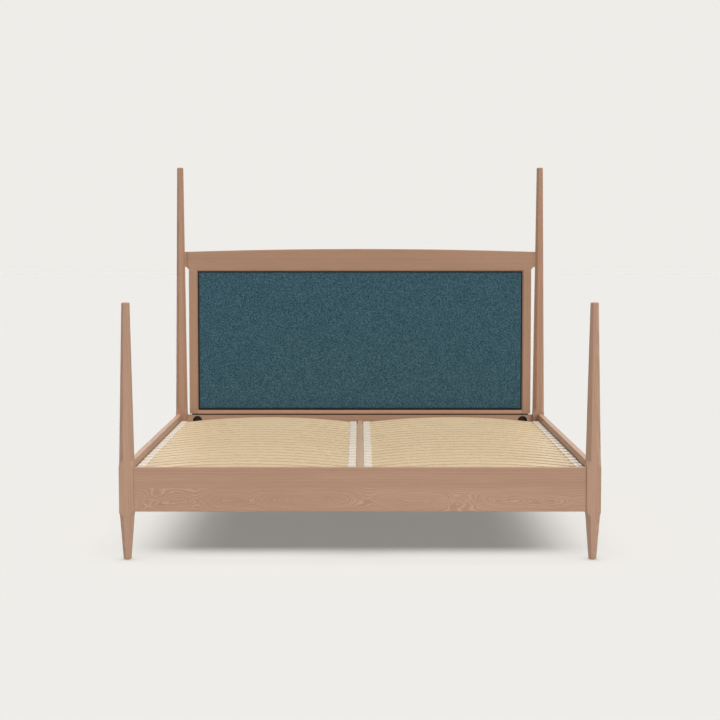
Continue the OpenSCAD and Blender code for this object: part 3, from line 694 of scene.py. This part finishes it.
# Spacing of the cover's points, radius of its edge, and how far in from the CAD pad's front the
# cover starts
PAD_STEP = 0.0085
PAD_EDGE_R = 0.009
PAD_EDGE_STEPS = 4
PAD_FRONT_IN = 0.0065
# The most that the foam moves the cover forward, back and sideways
PAD_CAP = 0.0085
PAD_BACK_CAP = 0.0005
PAD_SIDE_CAP = 0.0012
PAD_FRAMES = 20


# Teal shades, the scale of the loops, and the swirl that bends them
TEAL_SHADES = (
    (0.40, (0.0190, 0.0525, 0.0725)),
    (0.62, (0.0445, 0.107, 0.142)),
    (0.84, (0.0970, 0.184, 0.229)),
)
LOOP_SCALE = 330.0
LOOP_HEIGHT = 0.0011
SWIRL_SCALE = 160.0
SWIRL_REACH = 0.006


def fabric():
    """Teal boucle: tight loops of three shades over a slow mottle, with painted shade in the
    hollows between the loops.
    """
    t = Tree("teal_boucle")
    at = t.point()
    swirl = t.node("TexNoise", {"Vector": at, "Scale": SWIRL_SCALE, "Detail": 1.0}).outputs[1]
    bent = t.node("VectorMath", {0: swirl, 1: (0.5, 0.5, 0.5)}, operation="SUBTRACT").outputs[0]
    bent = t.node("VectorMath", {0: bent, 3: SWIRL_REACH}, operation="SCALE").outputs[0]
    bent = t.node("VectorMath", {0: at, 1: bent}, operation="ADD").outputs[0]
    loops = t.node("TexVoronoi", {"Vector": bent, "Scale": LOOP_SCALE}, feature="F1")
    shade = t.node("SeparateXYZ", {"Vector": loops.outputs["Color"]}).outputs[0]
    fleck = t.noise(at, scale=120.0, detail=3.0)
    mottle = t.noise(at, scale=34.0, detail=3.0)
    crown_and_shade = t.math("SUBTRACT", 1.0, t.math("MULTIPLY", loops.outputs["Distance"], 1.35))
    # The tops of the loops are painted lighter and the hollows between them darker: painted shade
    depth = t.total(0.0, (fleck, 0.72), (shade, 0.28), (mottle, 0.15), (crown_and_shade, 0.14))
    t.surface({"Base Color": t.ramp(depth, TEAL_SHADES), "Roughness": 0.92,
               "Normal": t.bump(crown_and_shade, LOOP_HEIGHT, 0.85),
               "Sheen Weight": 0.12, "Sheen Roughness": 0.4, "Specular IOR Level": 0.2})
    return t.material


def pad_shell():
    """The cover before the foam fills it: a front sheet whose edges turn back to the board.
    Gives the points, the quads and the points of the rim that is stapled down."""
    low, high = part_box("headboard_pad")
    front, back = low.y + PAD_FRONT_IN, high.y
    half = Vector(((high.x - low.x) / 2, 0, (high.z - low.z) / 2))
    middle = (low + high) / 2

    def profile(length):
        """Places along one direction with the edge's turn in them: (offset, depth) pairs."""
        flat = length - PAD_EDGE_R
        count = max(2, round(2 * flat / PAD_STEP))
        inner = [(-flat + 2 * flat * k / count, 0.0) for k in range(count + 1)]
        angles = [k * math.pi / 2 / PAD_EDGE_STEPS for k in range(1, PAD_EDGE_STEPS + 1)]
        turn = [(flat + PAD_EDGE_R * math.sin(a), PAD_EDGE_R * (1 - math.cos(a))) for a in angles]
        outer = turn + [(length, back - front)]
        return [(-p, d) for p, d in reversed(outer)] + inner + outer

    columns, rows = profile(half.x), profile(half.z)
    points, index, rim = [], {}, []
    for j, (z, dz) in enumerate(rows):
        for i, (x, dx) in enumerate(columns):
            index[i, j] = len(points)
            depth = min(back - front, math.hypot(dx, dz) if dx and dz else dx + dz)
            points.append((middle.x + x, front + depth, middle.z + z))
            if i in (0, len(columns) - 1) or j in (0, len(rows) - 1):
                rim.append(index[i, j])
    quads = [(index[i, j], index[i + 1, j], index[i + 1, j + 1], index[i, j + 1])
             for j in range(len(rows) - 1) for i in range(len(columns) - 1)]
    return points, quads, rim


def fill_pad(pad, rim):
    """The foam pushes the cover forward, by cloth simulation, as far as the cover lets it."""
    pins = pad.vertex_groups.new(name="stapled")
    pins.add(rim, 1.0, "REPLACE")
    cloth = pad.modifiers.new("cloth", "CLOTH")
    settings = cloth.settings
    settings.quality = 5
    settings.mass = 0.35
    settings.tension_stiffness = 35
    settings.compression_stiffness = 35
    settings.bending_stiffness = 6
    settings.use_pressure = True
    settings.uniform_pressure_force = 4
    settings.vertex_group_mass = "stapled"
    settings.effector_weights.gravity = 0
    cloth.point_cache.frame_start = 1
    cloth.point_cache.frame_end = PAD_FRAMES
    rest = np.array([v.co for v in pad.data.vertices])
    scene = bpy.context.scene
    for frame_number in range(1, PAD_FRAMES + 1):
        scene.frame_set(frame_number)
    shown = pad.evaluated_get(bpy.context.evaluated_depsgraph_get())
    filled = np.array([v.co for v in shown.data.vertices])
    pad.modifiers.remove(cloth)
    scene.frame_set(1)
    moved = filled - rest
    moved[:, 1] = np.clip(moved[:, 1], -PAD_CAP, PAD_BACK_CAP)
    for axis in (0, 2):
        moved[:, axis] = np.clip(moved[:, axis], -PAD_SIDE_CAP, PAD_SIDE_CAP)
    pad.data.vertices.foreach_set("co", (rest + moved).astype(np.float32).ravel())
    pad.data.update()


def build_pad():
    points, quads, rim = pad_shell()
    mesh = bpy.data.meshes.new("headboard_cushion")
    mesh.from_pydata(points, [], quads)
    mesh.validate()
    pad = bpy.data.objects.new("headboard_cushion", mesh)
    bpy.context.scene.collection.objects.link(pad)
    fill_pad(pad, rim)
    for face in mesh.polygons:
        face.use_smooth = True
    pad.modifiers.new("fine", "SUBSURF").levels = 1
    pad.modifiers["fine"].render_levels = 1
    mesh.materials.append(fabric())
    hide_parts("headboard_pad")
    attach(pad, "bed_frame")


# ---------------------------------------------------------------- the whole scene

bpy.context.scene.view_settings.view_transform = "Standard"
build_camera()
build_world()
build_lights(build_floor(), build_shadow_card())
dress_timber()
for side in ("left", "right"):
    birch_slats("slats_" + side)
spruce()
board_ply()
beech()
plastic()
steel("zinc", ZINC, None, ("ledger_screws", "centre_bracket_foot", "centre_bracket_head",
                           "bracket_screws", "leg_plate", "leg_screws", "leg_insert",
                           "headboard_pins", "panel_screws"))
steel("black_oxide", BLACK_OXIDE, None, ("half_moon_washers", "rail_nuts"))
steel("black_thread", BLACK_OXIDE, 1, ("rail_studs",))
felt("glide_felt", GLIDE_FELT, "felt_glides")
felt("strip_felt_and_shade", STRIP_FELT_AND_SHADE, "headboard_packing_strip")
levelling_foot()
build_pad()
